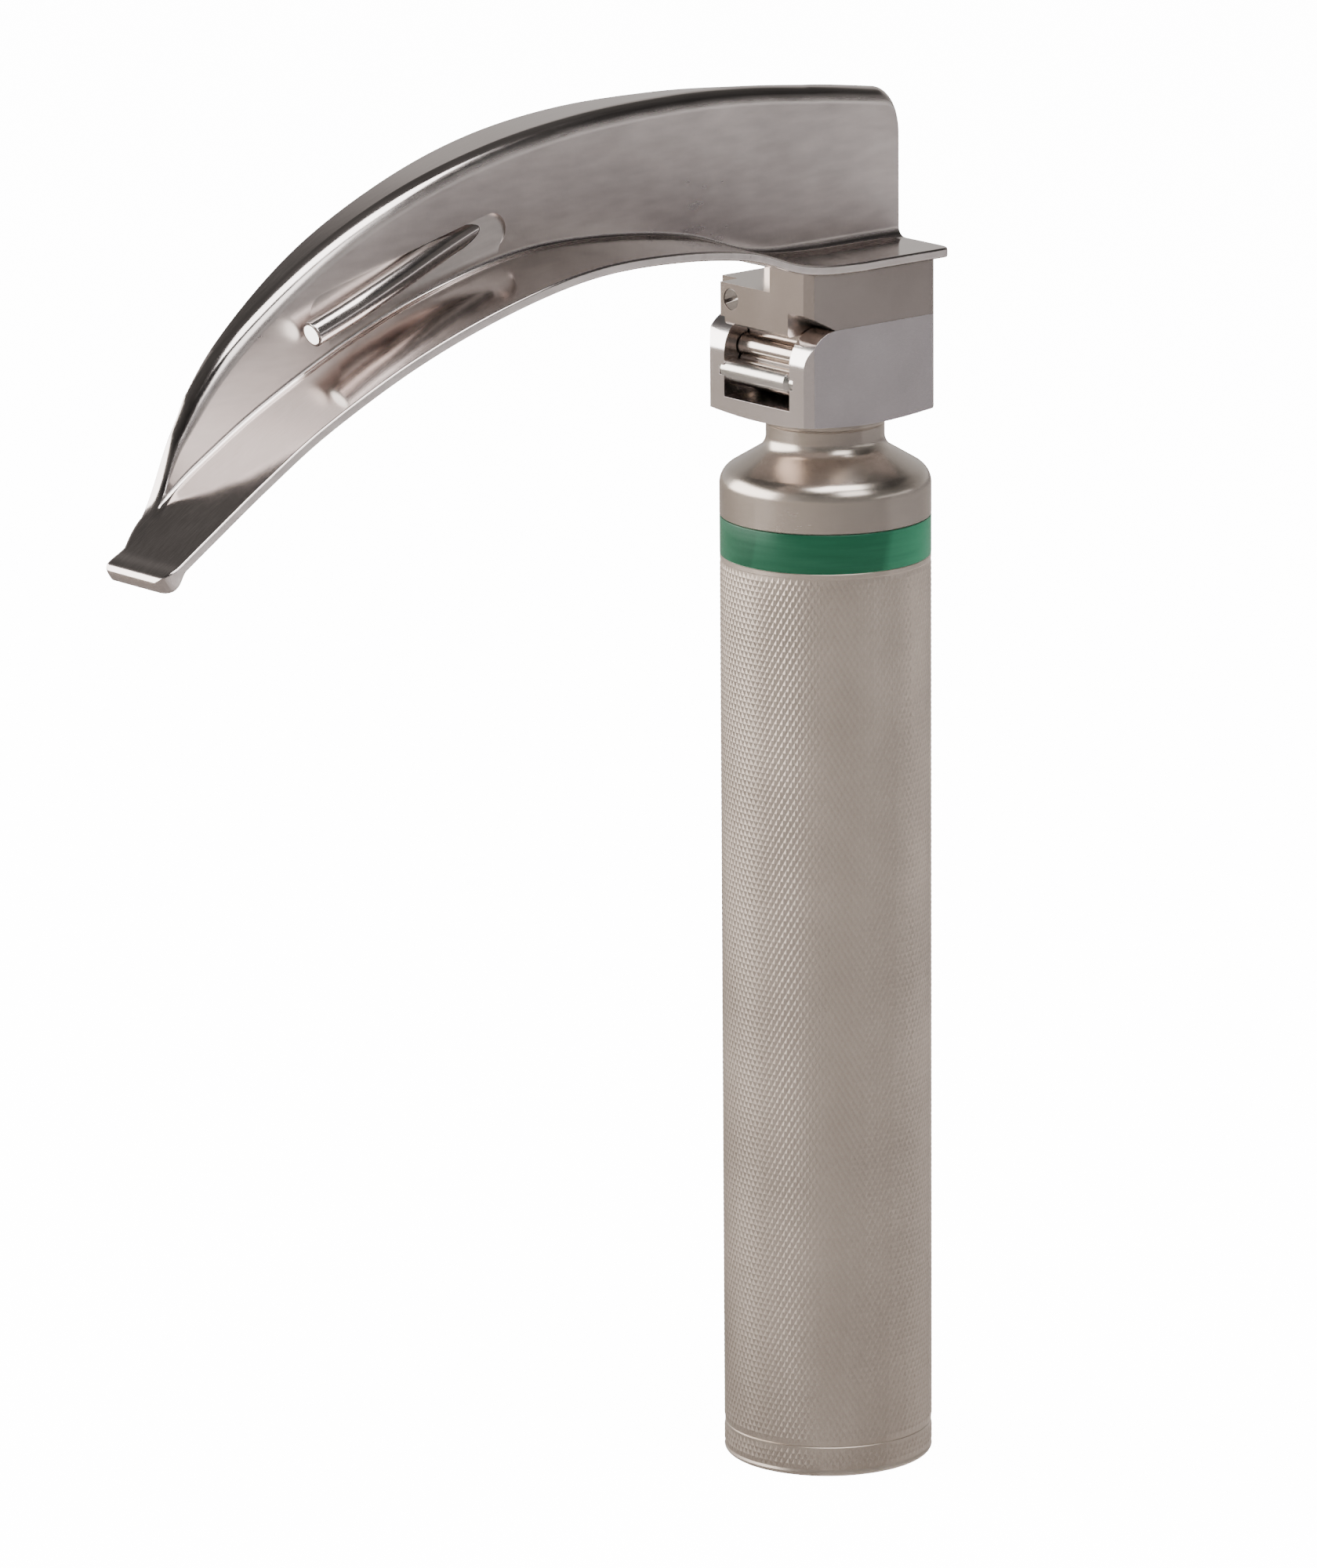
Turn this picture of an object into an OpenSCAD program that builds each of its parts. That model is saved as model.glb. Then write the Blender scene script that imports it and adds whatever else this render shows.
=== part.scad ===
// Hook-on fibre-lit laryngoscope: a battery handle standing upright with a curved blade locked open on it.
// The origin is the centre of the flat underside. The blade points along -X and its open side faces -Y.
// Blade shapes are drawn in "forward, right, up" terms: forward is -X and right is -Y. Sizes in millimetres.

/* [Handle] */
// Outside diameter of the battery handle
handle_d = 28; // [27.8:0.1:28.2]
// Height of the screw cap below the tube
cap_h = 4.2; // [3.8:0.1:4.6]
// Height at which the knurled tube ends
tube_top = 123.8; // [123:0.1:124.5]
// Height of the colour ring
ring_h = 5.2; // [4:0.1:6]
// Wall thickness of the battery tube
tube_wall = 0.7; // [0.5:0.05:0.8]
// Height at which the shoulder starts to turn in
shoulder_start = 133.2; // [132:0.1:134]
// Radius of the shoulder's rim
shoulder_rim_r = 2.8; // [2:0.1:3.5]
// Rise of the shoulder's cone above the horizontal, in degrees
shoulder_rise = 31; // [28:1:33]
// Diameter of the neck under the head
neck_d = 15.7; // [15:0.1:16]

/* [Head] */
// Length of the head from front to back
head_len = 22.65; // [22.3:0.05:23]
// Distance from the handle axis to the head's front face
head_front = 11.87; // [11.8:0.01:12]
// Width of the head
head_w = 20.8; // [20:0.1:21.5]
// Height of the head's underside
head_bottom = 142.75; // [142.5:0.05:143]
// Height of the head's top face, where the blade block seats
head_top = 156; // [155.8:0.1:156]
// Width of the slot that takes the blade's hook
slot_w = 13.06; // [13.04:0.01:13.2]
// Height of the slot's floor
slot_floor = 145.3; // [145:0.1:145.6]
// Radius of the cheeks' top front corners
cheek_r = 4.9; // [4:0.1:5]
// Diameter of the hinge pin
pin_d = 3; // [2.8:0.05:3.04]
// Distance from the handle axis forward to the hinge pin
pin_forward = 10.5; // [10.4:0.05:10.5]
// Height of the hinge pin
pin_up = 148.85; // [148.8:0.05:148.9]

/* [Blade] */
// Thickness of the spatula, web and flange
blade_t = 1.3; // [1.1:0.05:1.4]
// Radius over which the web turns into the flange
flange_r = 2.4; // [2:0.1:2.6]
// Radius of the bead across the tip
bead_r = 1.3; // [1.1:0.05:1.4]
// Width of the tongue that goes into the head's slot
tongue_w = 12.6; // [12.4:0.05:12.8]

/* [Light] */
// Outside diameter of the light guide tube
guide_d = 3.4; // [3:0.1:3.4]
// Diameter of the fibre bundle in it
fibre_d = 2.6; // [2.2:0.1:2.7]
// Width of the pocket in the web that the guide comes through
window_w = 4.6; // [4.2:0.1:4.8]
// How far the lamp cartridge rises when the blade is folded
lamp_travel = 1.5; // [1:0.1:1.6]

/* [Batteries] */
// Diameter of a battery
battery_d = 26.2; // [25.5:0.1:26.2]
// Length of a battery with its contact
battery_len = 50; // [49:0.1:50]

/* [Hidden] */
$fn = 96;

handle_r = handle_d / 2;
bore_r = handle_r - tube_wall;
spigot_r = bore_r - 0.08;
ring_top = tube_top + ring_h;
neck_r = neck_d / 2;
collar_h = 1.45;
neck_top = head_bottom - collar_h;
neck_fillet = 2.3;
shoulder_bottom = 116;
bush_r = 5.25;
bush_bottom = 134.1;
plunger_r = 4;
plunger_foot_r = 4.5;
tongue_bottom = 146.2;
pin_far = 7.5;
pin_seat = 7.2;
pin_near = 8.6;
pin_stub_r = 0.97;
plunger_top = tongue_bottom - 0.05;
plunger_bottom = bush_bottom - 0.1 - lamp_travel - 1.5;
bulb_room_r = 2.8;
washer_top = 126.5;
battery_bottom = 12;
battery_top = battery_bottom + 2 * battery_len;
plug_bottom = battery_top + 0.1;
spigot_top = 10.2;
seat_top = 3.2;
heel_top = 164.5;
block_top = heel_top - blade_t;
web_near = 0.2;
web_far = web_near - blade_t;
detent_forward = -4.3;
detent_up = 151;
ball_r = 1.5;
ball_proud = 0.15;

// Blade stations from heel to tip. Each row holds the spatula's forward place and height, the web's lean
// in degrees and its height, then the near edge, the flange's far edge and the spatula's far edge.
STATIONS = [
    [-12.8, 164.5, 0, 17.3, 10.6, -2.6, -9.5],
    [2, 164.5, 0, 19.3, 10.6, -2.6, -9.5],
    [13, 165.6, 0, 19.3, 11.6, -2.9, -2.2],
    [24, 169, 2, 16.3, 13.1, -5.4, -1.1],
    [38, 170.8, 6, 14, 14.6, -7.7, -1.1],
    [52, 170.7, 12, 12.2, 15.2, -7.9, -1.1],
    [66, 167.8, 18, 11.3, 14.9, -6.6, -1.1],
    [80, 162.9, 24, 9.9, 14.1, -5.4, -1.1],
    [94, 156.4, 29, 7.2, 13.7, -3.4, -1.1],
    [104, 150.6, 32, 3.5, 13.7, -1.9, -1.1],
    [112.6, 145.15, 34.2, 0.1, 13.8, -1.5, -0.6],
    [117, 142.2, 34.8, 0, 13.7, 0, 1.5]];
WEB_END = 10;
TIP_SLOPE = 34.8;
BEAD_ALONG = 2.9;
BEAD_TOP = 0.27;

// Middle line of the light guide from the block's foot to its bright end: forward, right, up.
GUIDE = [
    [0, 0, 148.6], [-0.4, -1.36, 154], [-1, -3.4, 161], [-1, -3.5, 165], [3, -3.3, 171.5],
    [14, -3.1, 174.8], [28, -3.1, 176.5], [44, -3.1, 176.3], [53, -3, 175.2], [59, -1.9, 174.1],
    [66, -0.1, 172.4], [72, 1.2, 170.6], [78, 2.05, 168.6], [82, 2.2, 167.1], [87.4, 2.25, 165.2]];

// --- helpers ---

// Places children drawn in forward, right, up terms
function place(p) = [-p[0], -p[1], p[2]];
module at(forward, right, up) translate([-forward, -right, up]) children();

// Extrudes an outline drawn as forward, up across the blade between two places to the right
module across(right_from, right_to)
    translate([0, -right_from, 0])
        rotate([90, 0, 0])
            mirror([1, 0, 0])
                linear_extrude(height = right_to - right_from) children();

// Raises an outline drawn as forward, right between two heights
module raised(from, to)
    translate([0, 0, from])
        rotate([0, 0, 180])
            linear_extrude(height = to - from) children();

module ring(outer, inner, from, to)
    translate([0, 0, from])
        difference() {
            cylinder(r = outer, h = to - from);
            translate([0, 0, -1]) cylinder(r = inner, h = to - from + 2);
        }

function arc(centre, r, a0, a1, n) =
    [for (i = [0:n]) let (a = a0 + (a1 - a0) * i / n) centre + r * [cos(a), sin(a)]];

function blend(a, b, t) = a + (b - a) * t;

// Catmull-Rom curve through a list of points, at place u counted in points
function clamp_index(i, n) = min(max(i, 0), n - 1);
function curve(points, u) =
    let (n = len(points), i = min(floor(u), n - 2), t = u - i,
        a = points[clamp_index(i - 1, n)], b = points[i],
        c = points[i + 1], d = points[clamp_index(i + 2, n)])
    0.5 * (2 * b + (c - a) * t + (2 * a - 5 * b + 4 * c - d) * t * t
        + (3 * b - 3 * c + d - a) * t * t * t);

// Closed mesh through rings that all have the same number of points
module skin(rings) {
    n = len(rings[0]);
    m = len(rings);
    sides = [for (i = [0:m - 2]) for (j = [0:n - 1]) let (k = (j + 1) % n)
        each [[i * n + j, (i + 1) * n + k, i * n + k], [i * n + j, (i + 1) * n + j, (i + 1) * n + k]]];
    first = [for (j = [0:n - 1]) j];
    last = [for (j = [n - 1:-1:0]) (m - 1) * n + j];
    polyhedron(points = [for (r = rings) each r], faces = concat(sides, [first], [last]), convexity = 8);
}

// Round wire or tube side along a list of points
function unit(v) = v / norm(v);
function tangent(path, i) =
    unit(path[min(i + 1, len(path) - 1)] - path[max(i - 1, 0)]);
function tube_rings(path, r, sides, side_axis) =
    [for (i = [0:len(path) - 1])
        let (t = tangent(path, i), u = unit(cross(side_axis, t)), v = cross(t, u))
        [for (j = [0:sides - 1]) let (a = 360 * j / sides) path[i] + r * (cos(a) * u + sin(a) * v)]];

// Coil spring of round wire about the Z axis, with the radius blending from bottom to top
module coil(r_bottom, r_top, wire_r, from, to, turns) {
    steps = 14 * turns;
    path = [for (i = [0:steps]) let (f = i / steps, a = 360 * turns * f, r = blend(r_bottom, r_top, f))
        [r * cos(a), r * sin(a), blend(from + wire_r, to - wire_r, f)]];
    skin(tube_rings(path, wire_r, 8, [0, 0, 1]));
}

// --- handle ---

module handle_tube()
    color("#b3a99f")
        ring(handle_r, bore_r, cap_h, tube_top);

module green_ring()
    color("#1f6b4a")
        ring(handle_r, spigot_r + 0.02, tube_top, ring_top);

// Outline of the shoulder from the colour ring up to the neck, as radius and height
function shoulder_outline() =
    let (rim = arc([handle_r - shoulder_rim_r, shoulder_start], shoulder_rim_r, 0, 90 - shoulder_rise, 8),
        end = rim[len(rim) - 1],
        run = (end[0] + neck_fillet * sin(shoulder_rise) - neck_r - neck_fillet) / cos(shoulder_rise),
        foot = end + run * [-cos(shoulder_rise), sin(shoulder_rise)],
        centre = foot + neck_fillet * [sin(shoulder_rise), cos(shoulder_rise)])
    concat(rim, arc(centre, neck_fillet, 270 - shoulder_rise, 180, 8), [[neck_r, neck_top]]);

module handle_shoulder()
    color("#a59c94")
        rotate_extrude()
            polygon(concat(
                [[plunger_foot_r + 0.1, 125], [11.8, 125], [11.8, shoulder_bottom],
                    [spigot_r, shoulder_bottom], [spigot_r, ring_top], [handle_r - 0.05, ring_top]],
                shoulder_outline(),
                [[bush_r + 0.05, neck_top], [bush_r + 0.05, bush_bottom - 0.05],
                    [plunger_foot_r + 0.1, bush_bottom - 0.05]]));

module neck_collar()
    color("#9a918a")
        rotate_extrude()
            polygon([[bush_r + 0.05, neck_top], [neck_r - 0.1, neck_top], [neck_r + 0.15, neck_top + 0.4],
                [neck_r + 0.15, head_bottom - 0.3], [neck_r - 0.15, head_bottom], [bush_r + 0.05, head_bottom]]);

// --- head ---

module head_plan() {
    corner = 1;
    back = head_front - head_len;
    half = head_w / 2;
    polygon([[back + corner, -half], [head_front - corner, -half], [head_front, corner - half],
        [head_front, half - corner], [head_front - corner, half], [back + corner, half],
        [back, half - corner], [back, corner - half]]);
}

module head_side() {
    back = head_front - head_len;
    polygon(concat([[back, head_bottom], [head_front, head_bottom]],
        arc([head_front - cheek_r, head_top - cheek_r], cheek_r, 0, 90, 12),
        [[back, head_top]]));
}

// Turned underside: flat in the middle and rising gently towards the corners
module head_turning()
    rotate_extrude()
        polygon([[0, head_bottom], [10.3, head_bottom], [16, head_bottom + 0.9], [16, head_top + 1],
            [0, head_top + 1]]);

module head_block()
    color("#a8a2a6")
        difference() {
            intersection() {
                raised(head_bottom, head_top) head_plan();
                across(-head_w / 2, head_w / 2) head_side();
                head_turning();
            }
            slot_back = -7.3;
            at(head_front + 1, slot_w / 2, slot_floor)
                cube([head_front + 1 - slot_back, slot_w, head_top]);
            at(pin_forward, -pin_far, pin_up) pin_hole(pin_d / 2 + 0.02, pin_far + pin_seat);
            at(pin_forward, 0, pin_up) pin_hole(pin_stub_r, pin_near + 0.05);
            translate([0, 0, head_bottom - 1]) cylinder(r = bush_r + 0.05, h = 10);
            for (side = [-1, 1])
                at(detent_forward, side * (slot_w / 2 + 1.2), detent_up) sphere(r = 1.9);
        }

// A round hole running to the right from where it is placed
module pin_hole(r, length) rotate([90, 0, 0]) cylinder(r = r, h = length);

// The pin is full size from the far cheek to just short of the near one, where a thinner stub holds it
module hinge_pin()
    color("#c4bdb4") {
        end = 0.3;
        r = pin_d / 2;
        shoulder = pin_far - 0.05 + 5.9;
        length = pin_far - 0.05 + pin_near;
        at(pin_forward, 0.05 - pin_far, pin_up)
            rotate([90, 0, 0])
                rotate_extrude()
                    polygon([[0, 0], [r - end, 0], [r, end], [r, shoulder - 0.5], [r - 0.5, shoulder],
                        [pin_stub_r - 0.02, shoulder], [pin_stub_r - 0.02, length], [0, length]]);
    }

// --- lamp and contacts ---

module lamp_bush()
    color("#b59a5b")
        ring(bush_r, plunger_r + 0.07, bush_bottom, slot_floor);

module lamp_plunger()
    color("#c9c4bd")
        rotate_extrude()
            polygon([[0, plunger_bottom], [plunger_foot_r, plunger_bottom],
                [plunger_foot_r, plunger_bottom + 1.5], [plunger_r, plunger_bottom + 1.5],
                [plunger_r, plunger_top - 0.4], [plunger_r - 0.4, plunger_top], [bulb_room_r, plunger_top],
                [bulb_room_r, plunger_bottom + 2], [0, plunger_bottom + 2]]);

module lamp_bulb()
    color("#e8e4d8") {
        base_top = plunger_bottom + 9;
        glass_r = 2.2;
        rotate_extrude()
            polygon(concat([[0, plunger_bottom + 2], [bulb_room_r - 0.1, plunger_bottom + 2],
                [bulb_room_r - 0.1, base_top], [glass_r, base_top]],
                arc([0, plunger_top - 0.3 - glass_r], glass_r, 0, 90, 10)));
    }

module lamp_spring()
    color("#d0ccc6")
        coil(3.3, 3.3, 0.35, washer_top, plunger_bottom, 4);

module spring_washer()
    color("#3a3a3c")
        ring(plunger_foot_r, 1.6, 125, washer_top);

module contact_rod()
    color("#c8a24a")
        rotate_extrude()
            polygon([[0, battery_top + 0.05], [3.5, battery_top + 0.05], [3.5, battery_top + 1.2],
                [1.5, battery_top + 1.2], [1.5, plunger_bottom - 0.05], [0, plunger_bottom - 0.05]]);

module contact_plug()
    color("#e6e2d6")
        rotate_extrude()
            polygon([[1.55, battery_top + 1.25], [3.6, battery_top + 1.25], [3.6, plug_bottom],
                [bore_r - 0.15, plug_bottom], [bore_r - 0.15, shoulder_bottom - 0.05],
                [11.75, shoulder_bottom - 0.05], [11.75, 124.9], [1.55, 124.9]]);

module battery(from) {
    nub_h = 1.5;
    rotate_extrude()
        polygon([[0, from], [battery_d / 2 - 0.5, from], [battery_d / 2, from + 0.5],
            [battery_d / 2, from + battery_len - nub_h - 0.5],
            [battery_d / 2 - 0.5, from + battery_len - nub_h],
            [3.75, from + battery_len - nub_h], [3.75, from + battery_len], [0, from + battery_len]]);
}

module battery_lower() color("#b98b4f") battery(battery_bottom);
module battery_upper() color("#b98b4f") battery(battery_bottom + battery_len);

// --- cap ---

module end_cap() {
    edge = 0.76;
    groove_r = 12.25;
    color("#b3a99f")
        rotate_extrude()
            polygon(concat([[0, 0]], arc([handle_r - edge, edge], edge, 270, 360, 6),
                [[handle_r, cap_h], [spigot_r, cap_h], [spigot_r, cap_h + 0.9], [groove_r, cap_h + 0.9],
                    [groove_r, cap_h + 2.1], [spigot_r, cap_h + 2.1], [spigot_r, spigot_top - 0.5],
                    [spigot_r - 0.5, spigot_top], [11.2, spigot_top], [11.2, seat_top - 1],
                    [0, seat_top - 1]]));
}

module cap_oring() {
    section_r = 0.47;
    color("#1c1c1e")
        translate([0, 0, cap_h + 1.5])
            rotate_extrude() translate([12.77, 0]) circle(r = section_r, $fn = 24);
}

module spring_seat()
    color("#c8a24a")
        translate([0, 0, seat_top - 1])
            cylinder(r = 9.5, h = 1);

module cap_spring()
    color("#d0ccc6")
        coil(8.2, 4.2, 0.55, seat_top, battery_bottom, 5);

// --- blade ---

// One section of the blade in its web part, as places to the right and up from the spatula's top
function web_section(s) =
    let (rise = max(s[3], 0.1), near = s[4], ledge = max(web_far - s[6], 0), share = ledge / 8.4,
        fillet = min(blend(0.7, 1.5, min(share, 1)), 0.02 + 0.5 * rise),
        turn = min(flange_r, 0.2 + 0.45 * rise), flange_t = min(blade_t, 0.2 + 0.35 * rise),
        inner = max(turn - blade_t, 0.06), top = rise + turn,
        far_edge = min(s[5], web_far - inner - 0.1), soft = 0.3 * flange_t)
    concat(
        near_edge(near, 0, -blade_t),
        arc([web_near + fillet, fillet], fillet, 270, 180, 4),
        arc([web_near - turn, rise], turn, 0, 90, 7),
        [[far_edge + soft, top], [far_edge, top - soft], [far_edge, top - flange_t + soft],
            [far_edge + soft, top - flange_t]],
        arc([web_far - inner, top - flange_t - inner], inner, 90, 0, 3),
        [[web_far, -0.2 * (1 - share)], [web_far - ledge, -0.5 * (1 - share)],
            [web_far - ledge, 0.3 - blade_t], [web_far - ledge + 0.3, -blade_t]]);

// The same number of points around a plain flat section
function flat_section(near, far, top, bottom) =
    let (depth = top - bottom, soft = min(0.3, 0.3 * depth))
    concat(
        near_edge(near, top, bottom),
        [for (i = [0:4]) [far + 4 - 0.3 * i, top]],
        [for (i = [0:7]) [far + 2.4 - 0.3 * i, top]],
        arc([far + soft, top - soft], soft, 90, 180, 3),
        [for (i = [1:4]) [far, top - soft - i * 0.06 * depth]],
        [[far, top - soft - 0.3 * depth], [far, top - soft - 0.34 * depth],
            [far, bottom + soft], [far + soft, bottom]]);

function near_edge(near, top, bottom) =
    let (soft = min(0.35, 0.3 * (top - bottom)))
    concat(arc([near - soft, bottom + soft], soft, 270, 360, 2), arc([near - soft, top - soft], soft, 0, 90, 2));

function section_mix(a, b, t) = [for (i = [0:len(a) - 1]) blend(a[i], b[i], t)];

function stand(section, forward, up, lean) =
    [for (p = section) place([forward + p[1] * sin(lean), p[0], up + p[1] * cos(lean)])];

function station(u) = let (s = curve(STATIONS, u)) [s[0], max(s[1], heel_top * (u < 2 ? 1 : 0)),
    s[2], s[3], s[4], s[5], min(s[6], u < WEB_END - 1 ? web_far : 99)];

// Rounds the heel's corners: how much is lost at a distance along from a corner of radius r
function corner_loss(along, r) = along >= r ? 0 : r - sqrt(r * r - (r - along) * (r - along));

function heel_station(along) =
    let (s = station(along / 14.8))
    [s[0], s[1], s[2], s[3] - corner_loss(along, 3.5), s[4] - corner_loss(along, 1.6), s[5],
        s[6] + corner_loss(along, 1.6)];

function web_ring(s, u) =
    let (fade = min(max((u - WEB_END + 1) / 1, 0), 1), section = web_section(s),
        plain = flat_section(s[4], min(s[6], 0), 0, -blade_t))
    stand(section_mix(section, plain, fade * fade), s[0], s[1], s[2]);

// Part of a half wave between 0 and 1
function ease(t) = (1 - cos(180 * min(max(t, 0), 1))) / 2;

function tip_ring(along) =
    let (end = STATIONS[len(STATIONS) - 1], past = along - BEAD_ALONG,
        round_part = sqrt(max(bead_r * bead_r - past * past, 0)), middle = BEAD_TOP - bead_r,
        top = past < 0 ? BEAD_TOP * ease(along / BEAD_ALONG) : middle + round_part,
        bottom = past < 0 ? blend(-blade_t, middle - bead_r, ease(along / BEAD_ALONG)) : middle - round_part,
        reach = BEAD_ALONG + bead_r,
        near = end[4] - corner_loss(reach - along, 3),
        far = end[6] + corner_loss(reach - along, 1.3))
    stand(flat_section(near, far, top, bottom), end[0] + along * cos(TIP_SLOPE),
        end[1] - along * sin(TIP_SLOPE), TIP_SLOPE);

module blade_shell() {
    heel = [for (along = [0.02, 0.3, 0.8, 1.6, 2.5, 3.5, 6, 9, 12]) web_ring(heel_station(along), 0)];
    web = [for (u = [1:0.2:WEB_END]) web_ring(station(u), u)];
    spatula = [for (u = [WEB_END + 0.25:0.25:WEB_END + 0.8])
        let (s = station(u)) stand(flat_section(s[4], s[6], 0, -blade_t), s[0], s[1], s[2])];
    tip = [for (along = [0, 0.5, 1, 1.5, 2, 2.5, 2.9, 3.3, 3.6, 3.85, 4, 4.12]) tip_ring(along)];
    skin(concat(heel, web, spatula, tip));
}

// Pocket in the web that the light guide comes through. Its floor is flush along the bottom edge and
// falls away from there towards the top edge.
module guide_pocket() {
    back = [56.4, 174.2];
    length = 28;
    drop = 14;
    half = window_w / 2;
    depth = 0.95;
    outline = concat(arc([0, 0], half, 90, 270, 12), arc([length, 0], half, -90, 90, 12));
    function spot(p, right) =
        place([back[0] + p[0] * cos(drop) + p[1] * sin(drop), right, back[1] - p[0] * sin(drop) + p[1] * cos(drop)]);
    skin([[for (p = outline) spot(p, web_near + 2)],
        [for (p = outline) spot(p, web_near + 0.02 - depth * (p[1] + half) / window_w)]]);
}

// Passage through the web that fits round the guide where it goes through
module guide_passage() {
    from = 8;
    to = 12.5;
    path = [for (i = [GUIDE_STEPS * from:GUIDE_STEPS * to]) place(curve(GUIDE, i / GUIDE_STEPS))];
    skin(tube_rings(path, guide_d / 2 + 0.05, 14, [0, 1, 0]));
}

module blade_body()
    color("#aaa19b")
        difference() {
            blade_shell();
            guide_pocket();
            guide_passage();
            at(GUIDE[3][0], GUIDE[3][1], block_top - 1) cylinder(d = guide_d + 0.8, h = 4);
        }

// Side outline of the part of the fitting that sits on the head
module seat_outline() {
    back = head_front - head_len;
    polygon([[back, head_top + 0.02], [7.2, head_top + 0.02], [head_front, 158.4], [head_front, 163.9],
        [9, 163.5], [6, 163.3], [2, block_top], [back, block_top]]);
}

// Side outline of the tongue: nose, groove, claw over the pin and the hook around it
module tongue_outline() {
    hook_r = pin_d / 2 + 0.1;
    back = -6.6;
    claw_r = 1.6;
    difference() {
        polygon(concat(
            [[back + 1, tongue_bottom], [8.2, tongue_bottom], [8.9, 146.9], [9.3, 147.6], [9.3, 150.2]],
            arc([8, 151.8], claw_r, -50, 90, 8),
            [[7.6, 153.4], [7.6, 155.1], [head_front - 0.3, 155.1], [head_front, 155.4], [head_front, 159.2],
                [back, 159.2], [back, tongue_bottom + 1.2]]));
        translate([pin_forward, pin_up]) circle(r = hook_r);
    }
}

module base_block() {
    half = head_w / 2;
    nose_far = -7.2;
    color("#a39a93")
        difference() {
            union() {
                intersection() {
                    raised(head_top, 164.5) head_plan();
                    across(-half, half) seat_outline();
                }
                across(-tongue_w / 2, tongue_w / 2) tongue_outline();
                across(nose_far, -tongue_w / 2 + 0.5)
                    polygon([[6, 158], [9.6, 156.1], [head_front, 156.1], [head_front, 159.2], [6, 159.2]]);
            }
            // Step cut away over the nose, on the far side
            at(20, 2.7, 160.6) cube([18.5, 20, 5]);
            // Far front corner beside the nose
            at(20, nose_far, 150) cube([11.2, 20, 20]);
            // Way for the light guide from the foot to the top
            at(0, 0, tongue_bottom - 1) cylinder(r = 2.55, h = 5);
            guide_way(GUIDE[0], GUIDE[2], 0);
            guide_way(GUIDE[2], GUIDE[3], 3);
            at(GUIDE[2][0], GUIDE[2][1], GUIDE[2][2]) sphere(d = guide_d + 1.1);
            // Cross bore for the detent balls and their spring
            at(detent_forward, 0, detent_up)
                rotate([90, 0, 0]) cylinder(r = ball_r + 0.05, h = 30, center = true);
            // Seat of the screw that holds the light guide
            at(head_front, -5.1, 158.5) rotate([0, 90, 0]) translate([0, 0, -1]) cylinder(r = 1.45, h = 2);
            at(head_front, -5.1, 158.5) rotate([0, 90, 0]) cylinder(r = 0.85, h = 5);
        }
}

module guide_way(from, to, past) {
    run = place(to) - place(from);
    length = norm(run);
    translate(place(from))
        rotate([0, acos(run[2] / length), atan2(run[1], run[0])])
            cylinder(d = guide_d + 0.7, h = length + past);
}

// --- light guide ---

GUIDE_STEPS = 4;
GUIDE_LAST = len(GUIDE) - 1;
function guide_path(start) =
    [for (i = [start:GUIDE_STEPS * GUIDE_LAST]) place(curve(GUIDE, i / GUIDE_STEPS))];

module light_guide_tube()
    color("#b9b2ab") {
        path = guide_path(2);
        outer = tube_rings(path, guide_d / 2, 14, [0, 1, 0]);
        inner = tube_rings(path, fibre_d / 2 + 0.06, 14, [0, 1, 0]);
        n = 14;
        m = len(path);
        around = [for (i = [0:m - 2]) for (j = [0:n - 1]) let (k = (j + 1) % n)
            each [[i * n + j, (i + 1) * n + k, i * n + k], [i * n + j, (i + 1) * n + j, (i + 1) * n + k]]];
        within = [for (f = around) [f[2] + m * n, f[1] + m * n, f[0] + m * n]];
        foot = [for (j = [0:n - 1]) let (k = (j + 1) % n)
            each [[j, k, m * n + j], [k, m * n + k, m * n + j]]];
        last = (m - 1) * n;
        mouth = [for (j = [0:n - 1]) let (k = (j + 1) % n)
            each [[last + j, m * n + last + k, last + k], [last + j, m * n + last + j, m * n + last + k]]];
        polyhedron(points = concat([for (r = outer) each r], [for (r = inner) each r]),
            faces = concat(around, within, foot, mouth), convexity = 8);
    }

module fibre_bundle()
    color("#f2efe2")
        skin(tube_rings(guide_path(2), fibre_d / 2, 12, [0, 1, 0]));

module light_inlet()
    color("#b9b2ab")
        ring(2.5, 1.75, tongue_bottom, 149.8);

module inlet_window()
    color("#e9edf0")
        translate([0, 0, tongue_bottom]) cylinder(r = 1.7, h = 0.8);

module guide_screw() {
    head_r = 1.4;
    head_t = 0.85;
    color("#8f8a86")
        at(head_front - 0.1, -5.1, 158.5)
            rotate([0, 90, 0])
                difference() {
                    union() {
                        cylinder(r = head_r, h = head_t);
                        cylinder(r = 0.8, h = 4.5);
                    }
                    rotate([0, 0, 70]) translate([-2, -0.22, -1]) cube([4, 0.44, 1.45]);
                }
}

// --- detent ---

module detent_ball(side)
    color("#d6d3cf")
        at(detent_forward, side * (tongue_w / 2 + ball_proud - ball_r), detent_up) sphere(r = ball_r);

module detent_ball_near() detent_ball(1);
module detent_ball_far() detent_ball(-1);

module detent_spring() {
    reach = tongue_w / 2 + ball_proud - 2 * ball_r - 0.05;
    color("#d0ccc6")
        at(detent_forward, 0, detent_up)
            rotate([90, 0, 0]) coil(1.1, 1.1, 0.22, -reach, reach, 6);
}

handle_tube();
green_ring();
handle_shoulder();
neck_collar();
head_block();
hinge_pin();
lamp_bush();
lamp_plunger();
lamp_bulb();
lamp_spring();
spring_washer();
contact_rod();
contact_plug();
battery_upper();
battery_lower();
end_cap();
cap_oring();
spring_seat();
cap_spring();
blade_body();
base_block();
light_guide_tube();
fibre_bundle();
light_inlet();
inlet_window();
guide_screw();
detent_ball_near();
detent_ball_far();
detent_spring();
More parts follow.
